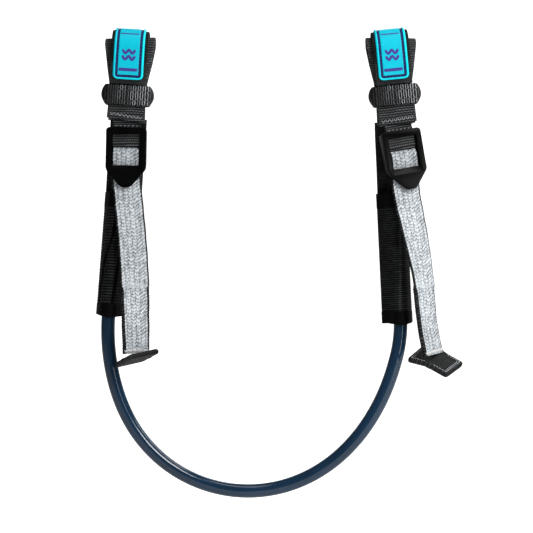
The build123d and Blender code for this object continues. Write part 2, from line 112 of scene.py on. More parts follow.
# What differs between the ends. A tail station is X, Y, Z and the turn of its face; a
# crease runs through points given across the sleeve and up; a pad is at an X, with a lean.
SIDES = {
    "left": {
        "buckle_top": -48.3,
        "line_end": (-99.0, -100.0),
        "sleeve_z": (-93.0, -178.0),
        "sleeve_reach": (-8.7, 10.0),
        "hems": (10.5, 8.0),
        "carrier_shift": 3.5,
        "base_slant": -2.4,
        "crease_depth": 0.9,
        "sleeve_rib": 1.95,
        "creases": [
            [(1.6, -108), (1.2, -112), (-1.9, -126), (-4.7, -138), (-6.7, -160), (-7.3, -170)],
            [(5.0, -106), (5.0, -122), (4.6, -136), (2.9, -158), (2.0, -170)],
        ],
        "tail": [
            (-92.6, -6.2, -80.6, 0.0), (-90.9, -8.35, -95.0, 2.0), (-87.8, -10.3, -127.0, 5.0),
            (-86.0, -11.3, -156.0, 10.0), (-85.3, -12.3, -181.0, 19.0), (-84.9, -13.0, -197.0, 26.0),
        ],
        "tail_end": (-84.7, -13.3, -203.6, 28.0),
        "handle_across": (0.80, 0.577, 0.145),
        "handle_wings": ((0.406, -0.884, 0.231), (-0.406, 0.884, -0.231)),
        "wing_lengths": (16.0, 16.0),
        "pad_at": (-90.2, 0.0227),
    },
    "right": {
        "buckle_top": -50.4,
        "line_end": (92.8, -100.0),
        "sleeve_z": (-93.0, -183.0),
        "sleeve_reach": (-12.1, 8.3),
        "hems": (10.5, 8.5),
        "carrier_shift": 1.1,
        "base_slant": 1.6,
        "crease_depth": -0.6,
        "sleeve_rib": 1.5,
        "creases": [
            [(2.4, -105), (1.4, -140), (-0.6, -174)],
        ],
        "tail": [
            (99.2, -5.8, -83.6, 12.0), (101.0, -8.0, -98.0, 15.0), (106.2, -10.8, -124.0, 26.0),
            (111.2, -11.6, -151.0, 40.0), (114.4, -12.4, -181.0, 45.0), (117.2, -13.0, -197.4, 44.0),
        ],
        "tail_end": (118.8, -13.3, -204.0, 44.0),
        "handle_across": (0.577, 0.727, 0.36),
        "handle_wings": ((0.789, -0.435, -0.441), (-0.83, 0.50, 0.20)),
        "wing_lengths": (18.0, 16.0),
        "pad_at": (90.3, -0.01),
    },
}


# ---- materials ----
def node(tree, kind, inputs=None, **settings):
    """Add a shader node; an input is a value or another node's output."""
    made = tree.nodes.new("ShaderNode" + kind)
    for name, value in settings.items():
        setattr(made, name, value)
    for name, value in (inputs or {}).items():
        if isinstance(value, bpy.types.NodeSocket):
            tree.links.new(value, made.inputs[name])
        else:
            made.inputs[name].default_value = value
    return made


def calculate(tree, operation, first, second):
    return node(tree, "Math", {0: first, 1: second}, operation=operation).outputs[0]


def colour_ramp(tree, factor, stops):
    """A colour ramp; each stop is a position and a linear colour."""
    ramp = node(tree, "ValToRGB", {"Fac": factor})
    elements = ramp.color_ramp.elements
    while len(elements) < len(stops):
        elements.new(0.5)
    for element, (position, colour) in zip(elements, stops):
        element.position = position
        element.color = (*colour, 1.0)
    return ramp.outputs["Color"]


def new_material(name, **fixed):
    """A material, its node tree and its shader with the given fixed inputs."""
    material = bpy.data.materials.new(name)
    material.use_nodes = True
    shader = material.node_tree.nodes["Principled BSDF"]
    for socket, value in fixed.items():
        shader.inputs[socket.replace("_", " ")].default_value = value
    return material, material.node_tree, shader


def connect(tree, shader, colour, roughness, height, bump, distance):
    """Link a surface's colour, roughness and bump to its shader."""
    tree.links.new(colour, shader.inputs["Base Color"])
    rough = node(tree, "MapRange", {"Value": height, "To Min": roughness[0], "To Max": roughness[1]})
    tree.links.new(rough.outputs["Result"], shader.inputs["Roughness"])
    relief = node(tree, "Bump", {"Height": bump, "Strength": 1.0, "Distance": distance})
    tree.links.new(relief.outputs["Normal"], shader.inputs["Normal"])


def scaled_noise(tree, place, scale, size, detail=2.0):
    """Noise over a vector whose axes are stretched by scale."""
    stretched = node(tree, "VectorMath", {0: place, 1: scale}, operation="MULTIPLY")
    noise = node(tree, "TexNoise", {"Vector": stretched.outputs[0], "Scale": size, "Detail": detail})
    return noise.outputs["Fac"]


def weave_place(tree):
    """The mesh's weave coordinates, and the height among them: a tone that sets painted shade in hollows and
    painted highlight on tops.
    """
    place = node(tree, "Attribute", attribute_name=WEAVE, attribute_type="GEOMETRY").outputs["Vector"]
    return place, node(tree, "SeparateXYZ", {"Vector": place}).outputs["Z"]


def fabric(name, stops, yarn, roughness, sheen=0.03, specular=0.12, flecks=0.35):
    """Yarn with fine fibres and uneven patches: painted shade darkens it between its ribs or loops and a painted
    highlight lightens their tops.
    """
    material, tree, shader = new_material(name, Specular_IOR_Level=specular)
    shader.inputs["Sheen Weight"].default_value = sheen
    shader.inputs["Sheen Roughness"].default_value = 0.4
    place, height = weave_place(tree)
    fibres = scaled_noise(tree, place, (1.0, yarn, 0.0), 2.2, 3.0)
    patches = scaled_noise(tree, place, (0.06, 0.05, 0.0), 1.0)
    varied = calculate(tree, "MULTIPLY_ADD", calculate(tree, "ADD", fibres, patches), flecks)
    tree.links.new(height, varied.node.inputs[2])
    level = calculate(tree, "SUBTRACT", varied, flecks)
    colour = colour_ramp(tree, level, stops)
    connect(tree, shader, colour, roughness, fibres, fibres, 0.00012)
    return material


def grey(value, tint=(1.0, 1.0, 1.0)):
    return tuple(value * channel for channel in tint)


COOL = (0.93, 1.0, 1.07)


def grey_stops(*pairs):
    """Stops of a cool grey ramp: a position and a brightness each."""
    return [(position, grey(value, COOL)) for position, value in pairs]


# Ramps from that height: the low end is painted shade between the yarns, the high end a painted highlight on their
# tops, up to painted glints on the elastic.
BLACK_STOPS = grey_stops((0.0, 0.0005), (0.45, 0.003), (0.8, 0.016), (1.0, 0.05))
RIB_STOPS = grey_stops((0.0, 0.0005), (0.3, 0.002), (0.58, 0.03), (0.8, 0.09), (1.0, 0.2))
SLEEVE_STOPS = grey_stops((0.0, 0.0003), (0.4, 0.001), (0.65, 0.016), (1.0, 0.06))
ELASTIC_STOPS = grey_stops((0.0, 0.0006), (0.3, 0.002), (0.55, 0.03), (0.75, 0.16), (1.0, 0.6))
SILVER_STOPS = grey_stops((0.0, 0.045), (0.25, 0.17), (0.5, 0.42), (1.0, 0.8))
WHITE_STOPS = [(0.0, grey(0.5)), (1.0, grey(0.95))]


def rubber(name, stops, roughness, bump):
    """Moulded rubber with a fine matt grain, whose colour follows its relief: painted highlight on raised parts
    and painted shade in hollows.
    """
    material, tree, shader = new_material(name, Specular_IOR_Level=0.2)
    place, height = weave_place(tree)
    grain = scaled_noise(tree, place, (1.0, 1.0, 0.0), 3.0, 3.0)
    patches = scaled_noise(tree, place, (0.12, 0.12, 0.0), 1.0)
    base = colour_ramp(tree, height, stops)
    shade = node(tree, "MapRange", {"Value": patches, "To Min": 0.86, "To Max": 1.1}).outputs["Result"]
    colour = node(tree, "VectorMath", {0: base, "Scale": shade}, operation="SCALE").outputs[0]
    connect(tree, shader, colour, roughness, grain, grain, bump)
    return material


def plastic(name, low, high, roughness, scale, specular=0.3, bump=0.00002):
    """Moulded plastic: two close colours, faint flow marks and a fine texture."""
    material, tree, shader = new_material(name, Specular_IOR_Level=specular)
    place = node(tree, "TexCoord").outputs["Object"]
    grain = scaled_noise(tree, place, (1.0, 1.0, 1.0), scale, 3.0)
    flow = scaled_noise(tree, place, (1.0, 1.0, 0.35), scale / 12)
    colour = colour_ramp(tree, flow, [(0.3, low), (0.7, high)])
    connect(tree, shader, colour, roughness, flow, grain, bump)
    return material


# The tab's turquoise with a lighter copy as painted highlight on its rim and a darker copy as painted shade on its
# groove's walls.
TURQUOISE_PAINTED_HIGHLIGHT = (0.001, 0.80, 0.98)
TURQUOISE = (0.001, 0.60, 0.78)
TURQUOISE_PAINTED_SHADE = (0.002, 0.30, 0.45)
NAVY = (0.006, 0.007, 0.07)
PURPLE = (0.075, 0.055, 0.36)
TUBE_LOW = (0.006, 0.025, 0.055)
TUBE_HIGH = (0.009, 0.034, 0.075)
BUCKLE_LOW = grey(0.0015, COOL)
BUCKLE_HIGH = grey(0.003, COOL)
TAB_STOPS = [(0.0, NAVY), (0.3, NAVY), (0.5, TURQUOISE_PAINTED_SHADE), (0.8, TURQUOISE), (1.0, TURQUOISE_PAINTED_HIGHLIGHT)]

LOOKS = {
    "webbing": fabric("black_webbing", BLACK_STOPS, 1.0, (0.45, 0.75)),
    "ribs": fabric("ribbed_webbing", RIB_STOPS, 1.0, (0.45, 0.75), specular=0.2),
    "sleeve": fabric("sleeve_webbing", SLEEVE_STOPS, 0.5, (0.45, 0.7), sheen=0.0, specular=0.06),
    "elastic": fabric("elastic_knit", ELASTIC_STOPS, 0.6, (0.4, 0.65), specular=0.25),
    "silver": fabric("silver_knit", SILVER_STOPS, 0.7, (0.35, 0.6), sheen=0.05, flecks=0.42),
    "hooks": fabric("hook_and_loop", BLACK_STOPS, 3.0, (0.5, 0.8), sheen=0.2),
    "white_thread": fabric("white_thread", WHITE_STOPS, 3.0, (0.4, 0.6), sheen=0.1),
    "dark_thread": fabric("dark_thread", ELASTIC_STOPS, 3.0, (0.4, 0.6)),
    "tab": rubber("tab_rubber", TAB_STOPS, (0.34, 0.5), 0.00003),
    "emblem": rubber("emblem_rubber", [(0.0, NAVY), (1.0, PURPLE)], (0.35, 0.5), 0.00002),
    "buckle": plastic("buckle_plastic", BUCKLE_LOW, BUCKLE_HIGH, (0.24, 0.32), 900.0, specular=0.04),
    "tube": plastic("tube_plastic", TUBE_LOW, TUBE_HIGH, (0.08, 0.12), 500.0, specular=0.5),
    "core": plastic("core_braid", grey(0.02), grey(0.05), (0.5, 0.7), 2500.0, bump=0.0002),
    "plug": plastic("plug_plastic", grey(0.01), grey(0.02), (0.35, 0.5), 900.0),
}


# ---- lines and frames, in millimetres ----
def unit(vectors):
    return vectors / np.linalg.norm(vectors, axis=-1, keepdims=True)


def distances(points):
    """How far along its run each point lies."""
    return np.concatenate([[0], np.cumsum(np.linalg.norm(np.diff(points, axis=0), axis=1))])


def resample(points, step):
    """Points at an even step along a run; columns after the third go along."""
    points = np.asarray(points, float)
    along = distances(points[:, :3])
    wanted = np.linspace(0, along[-1], max(int(round(along[-1] / step)), 2) + 1)
    return np.column_stack([np.interp(wanted, along, column) for column in points.T])


CURVE_POINTS = 24           # in each rounded corner, and between two points of a smooth run


def rounded_line(corners, radii, step):
    """An even run of points along corners that are rounded to the given radii."""
    corners = [Vector(corner) for corner in corners]
    run = [corners[0]]
    for before, corner, after, radius in zip(corners, corners[1:], corners[2:], radii):
        back, on = (before - corner).normalized(), (after - corner).normalized()
        half = back.angle(on) / 2
        start, end = corner + back * (radius / tan(half)), corner + on * (radius / tan(half))
        centre = corner + (back + on).normalized() * (radius / sin(half))
        for part in np.linspace(0, 1, CURVE_POINTS):
            run.append(centre + (start - centre).lerp(end - centre, part).normalized() * radius)
    run.append(corners[-1])
    return resample(run, step)


def side_line(corners, radii, step=SIDE_STEP):
    """The same for a side view given as Y and Z."""
    return rounded_line([(0, y, z) for y, z in corners], radii, step)


def through(points, step):
    """A smooth run through the given points, at an even step."""
    points = np.asarray(points, float)
    ends = 2 * points[0] - points[1], 2 * points[-1] - points[-2]
    held = np.vstack([ends[0], points, ends[1]])
    part = np.linspace(0, 1, CURVE_POINTS, endpoint=False)[:, None]
    run = []
    for a, b, c, d in zip(held, held[1:], held[2:], held[3:]):
        squared, cubed = 2 * a - 5 * b + 4 * c - d, 3 * b - a - 3 * c + d
        run.append(0.5 * (2 * b + (c - a) * part + squared * part**2 + cubed * part**3))
    return resample(np.vstack(run + [points[-1:]]), step)


def placed(points, place):
    """Points moved by a 4 by 4 matrix."""
    return points @ place[:3, :3].T + place[:3, 3]


def end_frames(name, side):
    """The local frames of one end's boom loop, buckle and sleeve, and the tilt's height."""
    across = -Vector(JOINTS[name + "_flap_open"]["axis"])
    loop_at = Vector(MOUNTS[name + "_boom_loop"]["pos_m"]) / MM
    loop = Matrix.Translation(loop_at) @ Matrix.Rotation(atan2(-across.z, across.x), 4, "Y")
    tilt = JOINTS[name + "_buckle_tilt"]
    across = -Vector(tilt["axis"])
    pivot = Vector(tilt["pos_m"]) / MM
    turn = Matrix.Rotation(atan2(-across.z, across.x), 4, "Y") @ Matrix.Rotation(asin(across.y), 4, "Z")
    buckle = Matrix.Translation(pivot) @ turn @ Matrix.Translation((0, -pivot.y, -pivot.z))
    axis = JOINTS[name + "_adjust"]["axis"]
    slope = axis[0] / axis[2]
    x_end, z_end = side["line_end"]
    sleeve = Matrix.Translation((x_end - slope * z_end, 0, 0)) @ Matrix.Rotation(atan(slope), 4, "Y")
    return np.array(loop), np.array(buckle), np.array(sleeve), pivot.z


class Ribbon:
    """A flat strap: its centre line, its directions, half width and thickness."""

    def __init__(self, centres, half_width, thick, place=np.eye(4), across=(1, 0, 0)):
        self.centres = placed(np.asarray(centres, float)[:, :3], place)
        across = np.broadcast_to(np.asarray(across, float), self.centres.shape) @ place[:3, :3].T
        tangents = unit(np.gradient(self.centres, axis=0))
        self.across = unit(across - (across * tangents).sum(1, keepdims=True) * tangents)
        self.normals = np.cross(tangents, self.across)
        self.along = distances(self.centres)
        self.half = np.broadcast_to(half_width, self.along.shape).astype(float)
        self.thick = np.broadcast_to(thick, self.along.shape).astype(float)

    def at(self, u, v, height):
        """The point u across and v along, at a height over the front face."""
        lift = height + np.interp(v, self.along, self.thick) / 2
        return self.mixed(self.centres, v) + self.mixed(self.across, v) * u + self.up(v) * lift

    def mixed(self, values, v):
        return np.array([np.interp(v, self.along, column) for column in values.T])

    def up(self, v):
        return self.mixed(self.normals, v)


# ---- meshes ----
def add_object(name, data):
    made = bpy.data.objects.new(name, data)
    bpy.context.scene.collection.objects.link(made)
    return made


def make_mesh(name, points, faces, weave, materials, face_material=None):
    """An object from points in millimetres, with its weave coordinates."""
    mesh = bpy.data.meshes.new(name)
    mesh.from_pydata((np.asarray(points) * MM).tolist(), [], faces)
    attribute = mesh.attributes.new(WEAVE, "FLOAT_VECTOR", "POINT")
    attribute.data.foreach_set("vector", np.asarray(weave, np.float32).ravel())
    for material in materials:
        mesh.materials.append(LOOKS[material])
    if face_material is not None:
        mesh.polygons.foreach_set("material_index", np.asarray(face_material, np.int32))
    mesh.polygons.foreach_set("use_smooth", [True] * len(mesh.polygons))
    mesh.update()
    return add_object(name, mesh)


def ring_faces(rows, count, closed_rows=False):
    """Quads between rows of closed rings."""
    face_rows = np.arange(rows if closed_rows else rows - 1)[:, None]
    ring = np.arange(count)[None, :]
    here, there = face_rows * count, (face_rows + 1) % rows * count
    after = (ring + 1) % count
    return np.stack([here + ring, there + ring, there + after, here + after], axis=-1).reshape(-1, 4)


def strap_rings(ribbon, front, back):
    """A strap's rings of points and their weave, and how many points the front has."""
    flat_half = ribbon.half - ribbon.thick / 2
    columns = int(2 * flat_half.max() / WEAVE_STEP) + 2
    u = np.linspace(-1, 1, columns)[None, :] * flat_half[:, None]
    v = ribbon.along[:, None] + 0 * u
    half_thick = ribbon.thick[:, None] / 2
    front_height, front_tone = front(u, v)
    back_height, back_tone = back(u, v)

    def point(offset, height):
        return (ribbon.centres[:, None] + ribbon.across[:, None] * offset[..., None]
                + ribbon.normals[:, None] * height[..., None])

    turn = np.linspace(pi / 2, -pi / 2, EDGE_POINTS + 2)[None, 1:-1]
    right_radius = half_thick + (front_height[:, -1:] + back_height[:, -1:]) / 2
    left_radius = half_thick + (front_height[:, :1] + back_height[:, :1]) / 2
    right_u = flat_half[:, None] + right_radius * np.cos(turn)
    left_u = -flat_half[:, None] - left_radius * np.cos(turn[:, ::-1])
    points = np.concatenate([
        point(u, half_thick + front_height),
        point(right_u, right_radius * np.sin(turn)),
        point(u, -half_thick - back_height)[:, ::-1],
        point(left_u, left_radius * np.sin(turn[:, ::-1])),
    ], axis=1)
    edge = 0 * right_u
    all_u = np.concatenate([u, right_u, u[:, ::-1], left_u], axis=1)
    all_v = np.concatenate([v, v[:, :1] + edge, v, v[:, :1] + edge], axis=1)
    right_tone, left_tone = front_tone[:, -1:] + edge, front_tone[:, :1] + edge
    tone = np.concatenate([front_tone, right_tone, back_tone[:, ::-1], left_tone], axis=1)
    return points, np.stack([all_u, all_v, tone], axis=-1), columns


def strap(name, ribbon, front, back, materials, border=0):
    """A strap's closed mesh. The first material is the front's, the last the rest's.

    The border is how many faces at each side of the front have the last material.
    """
    points, weave, columns = strap_rings(ribbon, front, back)
    rows, count = points.shape[:2]
    place_in_ring = np.tile(np.arange(count), rows - 1)
    is_front = (place_in_ring >= border) & (place_in_ring < columns - 1 - border)
    caps = strap_cap(columns, count)
    last = (rows - 1) * count
    caps += [[last + i for i in reversed(cap)] for cap in caps]
    index = np.where(is_front, 0, len(materials) - 1)
    index = np.concatenate([index, np.full(len(caps), len(materials) - 1)])
    faces = ring_faces(rows, count).tolist() + caps
    return make_mesh(name, points.reshape(-1, 3), faces, weave.reshape(-1, 3), materials, index)


def strap_cap(columns, count):
    """The faces that close a strap's first ring."""
    back_first = columns + EDGE_POINTS + columns - 1
    quads = [[j, j + 1, back_first - j - 1, back_first - j] for j in range(columns - 1)]
    right = list(range(columns - 1, columns + EDGE_POINTS + 1))
    left = list(range(back_first, count)) + [0]
    return quads + [right, left]


def threads(name, lines, ups, widths, height, material, sides=8):
    """Thin closed strands along the given lines, with rounded ends."""
    widths = np.broadcast_to(widths, len(lines))
    points, faces, weave = [], [], []
    first = 0
    for number, (line, up, width) in enumerate(zip(lines, ups, widths)):
        line = np.asarray(line, float)
        tangents = unit(np.gradient(line, axis=0))
        up = np.broadcast_to(np.asarray(up, float), line.shape)
        across = unit(np.cross(tangents, up))
        up = np.cross(across, tangents)
        along = distances(line)
        to_end = np.minimum(along, along[-1] - along) / (width / 2)
        size = np.sqrt(np.clip(1 - (1 - np.clip(to_end, 0, 1)) ** 2, 0.1, 1))
        turn = np.linspace(0, 2 * pi, sides, endpoint=False)
        ring = (across[:, None] * (np.cos(turn) * width / 2)[None, :, None]
                + up[:, None] * (np.sin(turn) * height / 2)[None, :, None])
        points.append((line[:, None] + ring * size[:, None, None]).reshape(-1, 3))
        faces += (ring_faces(len(line), sides) + first).tolist()
        faces.append([first + i for i in range(sides)])
        faces.append([first + (len(line) - 1) * sides + i for i in reversed(range(sides))])
        first += len(line) * sides
        along = along[:, None] + 0 * turn[None, :]
        around = turn[None, :] + 0 * along
        # Painted light: each strand is lighter on its upper side and darker underneath.
        tone = 0.55 + 0.45 * np.sin(turn)[None, :] + 0 * along
        weave.append(np.stack([around + 7.1 * number, along, tone], axis=-1).reshape(-1, 3))
    return make_mesh(name, np.vstack(points), faces, np.vstack(weave), [material])


def arches(ribbon, stitches, rise):
    """Lines and upward directions of stitches, each from one (u, v) to another."""
    lines, ups = [], []
    for (u_start, v_start), (u_end, v_end) in stitches:
        share = np.linspace(0, 1, 6)
        lift = rise * np.sqrt(np.sin(pi * share))
        u = u_start + (u_end - u_start) * share
        v = v_start + (v_end - v_start) * share
        lines.append([ribbon.at(a, b, c) for a, b, c in zip(u, v, lift)])
        ups.append(ribbon.up((v_start + v_end) / 2))
    return lines, ups


def sew(name, ribbon, stitches, rise, width, height, material, sides=8):
    """Threads for stitches that each go from one (u, v) to another."""
    lines, ups = arches(ribbon, stitches, rise)
    return threads(name, lines, ups, width, height, material, sides)


def finish(piece, body, slot, *nodes):
    """A piece's body and the CAD nodes it stands for; slot, the finish's name, is not used."""
    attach(piece, body)
    if nodes:
        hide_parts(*nodes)


def bend(piece, near, far, ends, slot, *nodes):
    """For a piece that runs from one body to the other: bake its place into its mesh and hide the CAD nodes it
    stands for; near, far, ends and slot are not used.
    """
    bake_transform(piece)
    if nodes:
        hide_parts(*nodes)


# ---- reliefs: functions of mm across and mm along, giving height in mm and tone ----
def scatter(first, second):
    """A repeatable number from 0 to 1 for each pair of whole numbers."""
    value = np.sin(first * 12.9898 + second * 78.233) * 43758.5453
    return value - np.floor(value)


def ribbed(pitch, depth, warp=1.15, wander=0.2, sharp=0.6):
    """Ribs across the strap, with the warp yarns that bind them."""
    def relief(u, v):
        shifted = v + wander * np.sin(0.21 * u + 0.7 * np.sin(0.17 * v))
        number = np.floor(shifted / pitch)
        rib = np.abs(np.sin(pi * shifted / pitch)) ** sharp
        yarn = 0.5 + 0.5 * np.cos(2 * pi * u / warp + pi * number)
        uneven = 0.8 + 0.2 * scatter(number, np.floor(u / (warp * 6)))
        tone = rib * (0.7 + 0.3 * yarn) * uneven
        return depth * tone, tone
    return relief


KNIT_COLUMN = 3.3
KNIT_PITCH = 2.3
KNIT_DEPTH = 0.5


def silver_knit(u, v):
    """Chains of slanting loops side by side along the strap."""
    swing = 0.3 * np.sin(2 * pi * v / KNIT_PITCH + 0.8 * np.sin(0.23 * v) + 1.1 * u)
    column = np.floor((u + swing) / KNIT_COLUMN)
    off = (u + swing) / KNIT_COLUMN - column - 0.5
    slant = np.where(scatter(column, 9.0) > 0.55, 2.6 * np.abs(off), 2.2 * off)
    drift = 0.5 * np.sin(v * 0.083 + column * 1.7) + 0.45 * np.sin(v * 0.41 + 2 * column)
    phase = (v + drift + slant) / KNIT_PITCH + scatter(column, 3.0)
    number = np.floor(phase)
    loop = np.abs(np.sin(pi * phase)) ** 0.8
    chain = np.clip(1 - (2 * np.abs(off)) ** 4, 0, 1) ** 0.5
    strand = 0.5 + 0.5 * np.cos(2 * pi * (2.0 * off + 0.35 * phase))
    uneven = 0.55 + 0.45 * scatter(number, column + 2 * (off > 0))
    tone = (0.3 + 0.7 * chain) * (0.2 + 0.8 * loop) * (0.65 + 0.35 * strand) * uneven
    return KNIT_DEPTH * tone, np.clip(tone * 1.45, 0, 1)


def pile(size, depth):
    """Small tufts or hooks in rows."""
    def relief(u, v):
        tuft = np.clip(np.cos(2 * pi * u / size) * np.cos(2 * pi * v / size), 0, 1)
        tone = tuft * (0.5 + 0.5 * scatter(np.floor(u / size), np.floor(v / size)))
        return depth * tone, tone
    return relief


def plain(tone):
    """No relief, and one tone all over."""
    return lambda u, v: (0 * u, 0 * v + tone)


WEB = ribbed(1.5, 0.16)


# ---- the line ----
def build_line():
    curve = bpy.data.curves.new("line_tube", "CURVE")
    curve.dimensions = "3D"
    spline = curve.splines.new("NURBS")
    spline.points.add(len(LINE_ROUTE) - 1)
    for point, (x, z) in zip(spline.points, LINE_ROUTE):
        point.co = (x, 0, z, 1)
    spline.order_u = 3
    spline.use_endpoint_u = True
    spline.resolution_u = 10
    curve.bevel_depth = TUBE_RADIUS * MM
    curve.bevel_resolution = 10
    curve.use_fill_caps = True
    curve.materials.append(LOOKS["tube"])
    tube = add_object("line_tube", curve)
    finish(tube, "line", "tube", "tube")


# ---- boom loop ----
def flap_line(outward, bottom):
    """The flap's line, or one parallel to it, from the sewn base round to the tip."""
    back, front, top = LOOP_BACK + outward, LOOP_FRONT - outward, LOOP_TOP + outward
    corners = [(0.3, bottom), (0.3, -20.8), (back, -5.5), (back, top), (front, top),
               (front, FLAP_BEND), (-9.0 - outward, FLAP_TIP)]
    radius = ARC_RADIUS + outward - 0.05
    return side_line(corners, [4, 6, radius, radius, 10])


SMOOTH_TIP = 13.0           # the flap's ribs fade over the last of its length


def build_boom_strap(name, loop, bottom):
    ribbon = Ribbon(flap_line(0, bottom), STRAP_WIDTH / 2, STRAP_THICK - RELIEF_ROOM, loop)
    smooth_from = ribbon.along[-1] - SMOOTH_TIP

    def front(u, v):
        height, tone = WEB(u, v)
        ribs = np.clip((smooth_from - v) / 4.0, 0.25, 1)
        return height * ribs, tone * ribs + 0.9 * (1 - ribs)

    piece = strap(name + "_boom_strap_and_flap", ribbon, front, WEB, ["webbing"])
    ends = placed(np.array([(0, 9.4, 9.0), (0, 1.94, 11.6)]), loop)
    bend(piece, name + "_end", name + "_flap", ends, "black_webbing",
         name + "_boom_strap", name + "_flap")


def tab_line():
    """The tab's centre line, from behind the crown down the front."""
    outward = (STRAP_THICK + TAB_THICK) / 2
    whole = flap_line(outward, -43.5)
    crown = ARC_Y + (ARC_RADIUS + outward) * sin(radians(26))
    over = np.flatnonzero((whole[:, 1] <= crown) & (whole[:, 2] > TAB_BOTTOM))
    start = over[whole[over, 2] > LOOP_TOP - 3][0]
    return whole[start:over[-1] + 1]


TAB_CORNER = 3.2
RIM = [0, 0.4, 1.3, 1.6, 2.9, 3.2, 4.2]
RIM_HEIGHT = [-0.3, 0.36, 0.42, -0.42, -0.42, 0.0, 0.05]


def rounded_inset(u, v, half, length, radius):
    """How far a point lies inside a rounded rectangle."""
    du = np.abs(u) - (half - radius)
    dv = np.abs(v - length / 2) - (length / 2 - radius)
    outside = np.hypot(np.maximum(du, 0), np.maximum(dv, 0))
    return radius - outside - np.minimum(np.maximum(du, dv), 0)


def corner_cut(to_end, radius):
    """How much narrower a plate with rounded corners is, by the distance to its end."""
    off = np.clip(radius - to_end, 0, radius)
    return radius - np.sqrt(np.clip(radius**2 - off**2, 0, None))


def build_tab(name, loop):
    line = tab_line()
    along = distances(line)
    length = along[-1]
    corner = corner_cut(np.minimum(length - along, along), TAB_CORNER)
    ribbon = Ribbon(line, TAB_WIDTH / 2 - corner, TAB_THICK - 0.3, loop)

    def front(u, v):
        inset = rounded_inset(u, v, TAB_WIDTH / 2, length, TAB_CORNER)
        height = np.interp(inset, RIM, RIM_HEIGHT)
        # Tone across the tab's edge: painted highlight on the raised rim, painted shade on the groove's walls,
        # navy on the groove's floor.
        tone = np.interp(inset, [1.35, 1.6, 2.85, 3.1, 3.5], [1, 0, 0, 0.6, 0.8])
        return height, tone

    tab = strap(name + "_pull_tab", ribbon, front, plain(0.6), ["tab"])
    finish(tab, name + "_flap", "tab_rubber", name + "_tab")
    build_tab_stitches(name, ribbon, length)
    build_emblem(name, ribbon, line)


def build_tab_stitches(name, ribbon, length):
    """Dashed thread in the groove, round the tab."""
    inset, corner = 2.3, 1.6
    x, low, high = TAB_WIDTH / 2 - inset, inset, length - inset
    corners = [(x, low), (x, high), (-x, high), (-x, low), (x, low)]
    loop = rounded_line([(a, b, 0) for a, b in corners], [corner] * 3, 0.3)
    period, dash = 8, 6
    stitches = [
        (loop[i][:2], loop[min(i + dash, len(loop) - 1)][:2])
        for i in range(0, len(loop) - dash, period)
    ]
    lines, ups = arches(ribbon, stitches, 0.12)
    sunk = [np.array(line) - 0.28 * up for line, up in zip(lines, ups)]
    piece = threads(name + "_tab_thread", sunk, ups, 0.55, 0.4, "emblem")
    finish(piece, name + "_flap", "black_thread", name + "_tab_stitching")


WAVE_LEVELS = (-1.3, 2.9)
WAVE_LENGTH = 4.7
WAVE_RISE = 1.1
WAVE_WIDTH = 1.8
MARK_LIFT = 0.1
MARK_HEIGHT = 0.7
BARS = ((-9.2, 6.5, 2.1), (15.0, 6.4, 0.9))     # height, half length and width


def build_emblem(name, ribbon, line):
    """Plain raised marks on the tab: a pair of waves over a bar, and a line near the crown."""
    front = line[:, 1] < ARC_Y

    def level(z):
        return np.interp(-z, -line[front, 2], ribbon.along[front])

    lines, ups, widths = [], [], []
    for z in WAVE_LEVELS:
        u = np.linspace(-WAVE_LENGTH, WAVE_LENGTH, 60)
        v = level(z) - WAVE_RISE * np.cos(2 * pi * u / WAVE_LENGTH)
        lines.append([ribbon.at(a, b, MARK_LIFT) for a, b in zip(u, v)])
        ups.append(np.array([ribbon.up(b) for b in v]))
        widths.append(WAVE_WIDTH)
    for z, reach, width in BARS:
        u = np.linspace(-reach, reach, 50)
        lines.append([ribbon.at(a, level(z), MARK_LIFT) for a in u])
        ups.append(np.array([ribbon.up(level(z))] * len(u)))
        widths.append(width)
    piece = threads(name + "_tab_marks", lines, ups, widths, MARK_HEIGHT, "emblem", sides=12)
    finish(piece, name + "_flap", "emblem", name + "_tab_emblem")


PAD_SHEAR = 0.052           # sideways drift of the lining from its base to its top


def build_pad(name, side, bottom):
    """The ribbed lining, folded over the boom; it leans less than the strap over it."""
    half = PAD_FACE - PAD_THICK / 2
    top = PAD_TOP - PAD_THICK / 2
    corners = [(-3.1, bottom), (-3.1, -20), (-half, -7), (-half, top), (half, top),
               (half, -5), (-1.4, -20), (-1.4, bottom)]
    line = side_line(corners, [4, 8, half - 0.3, half - 0.3, 6, 4])
    height = line[:, 2]
    width = np.interp(height, [-43, -30, -17, 8.0, PAD_TOP - 0.8], [12.2, 12.2, 13.0, 17.0, 17.2])
    x, tilt = side["pad_at"]
    place = np.eye(4)
    place[0, 2] = PAD_SHEAR * -np.sign(x)
    place[0, 3] = x
    place[2, 0] = tilt
    ribbon = Ribbon(line, width, PAD_THICK - 0.2, place)
    ribs = ribbed(1.65, 0.25)
    piece = strap(name + "_boom_pad_cloth", ribbon, ribs, ribs, ["ribs"])
    finish(piece, name + "_end", "ribbed_webbing", name + "_boom_pad")


def build_patches(name, loop):
    """Pile on the lining's front and hooks inside the flap."""
    front = -PAD_FACE - 0.5
    soft = Ribbon(side_line([(front, 5.0), (front, -5.5)], []), 11.0, 0.8, loop)
    piece = strap(name + "_pile_tape", soft, pile(0.9, 0.3), plain(0.35), ["hooks"])
    finish(piece, name + "_end", "hook_and_loop", name + "_pile_patch")
    inside = LOOP_FRONT + STRAP_THICK / 2 + 0.5
    rough = Ribbon(side_line([(inside, 6.0), (inside, -5.5)], []), 11.0, 0.9, loop)
    piece = strap(name + "_hook_tape", rough, plain(0.35), pile(1.3, 0.3), ["hooks"])
    finish(piece, name + "_flap", "hook_and_loop", name + "_hook_patch")


BASE_HALF = 12.7


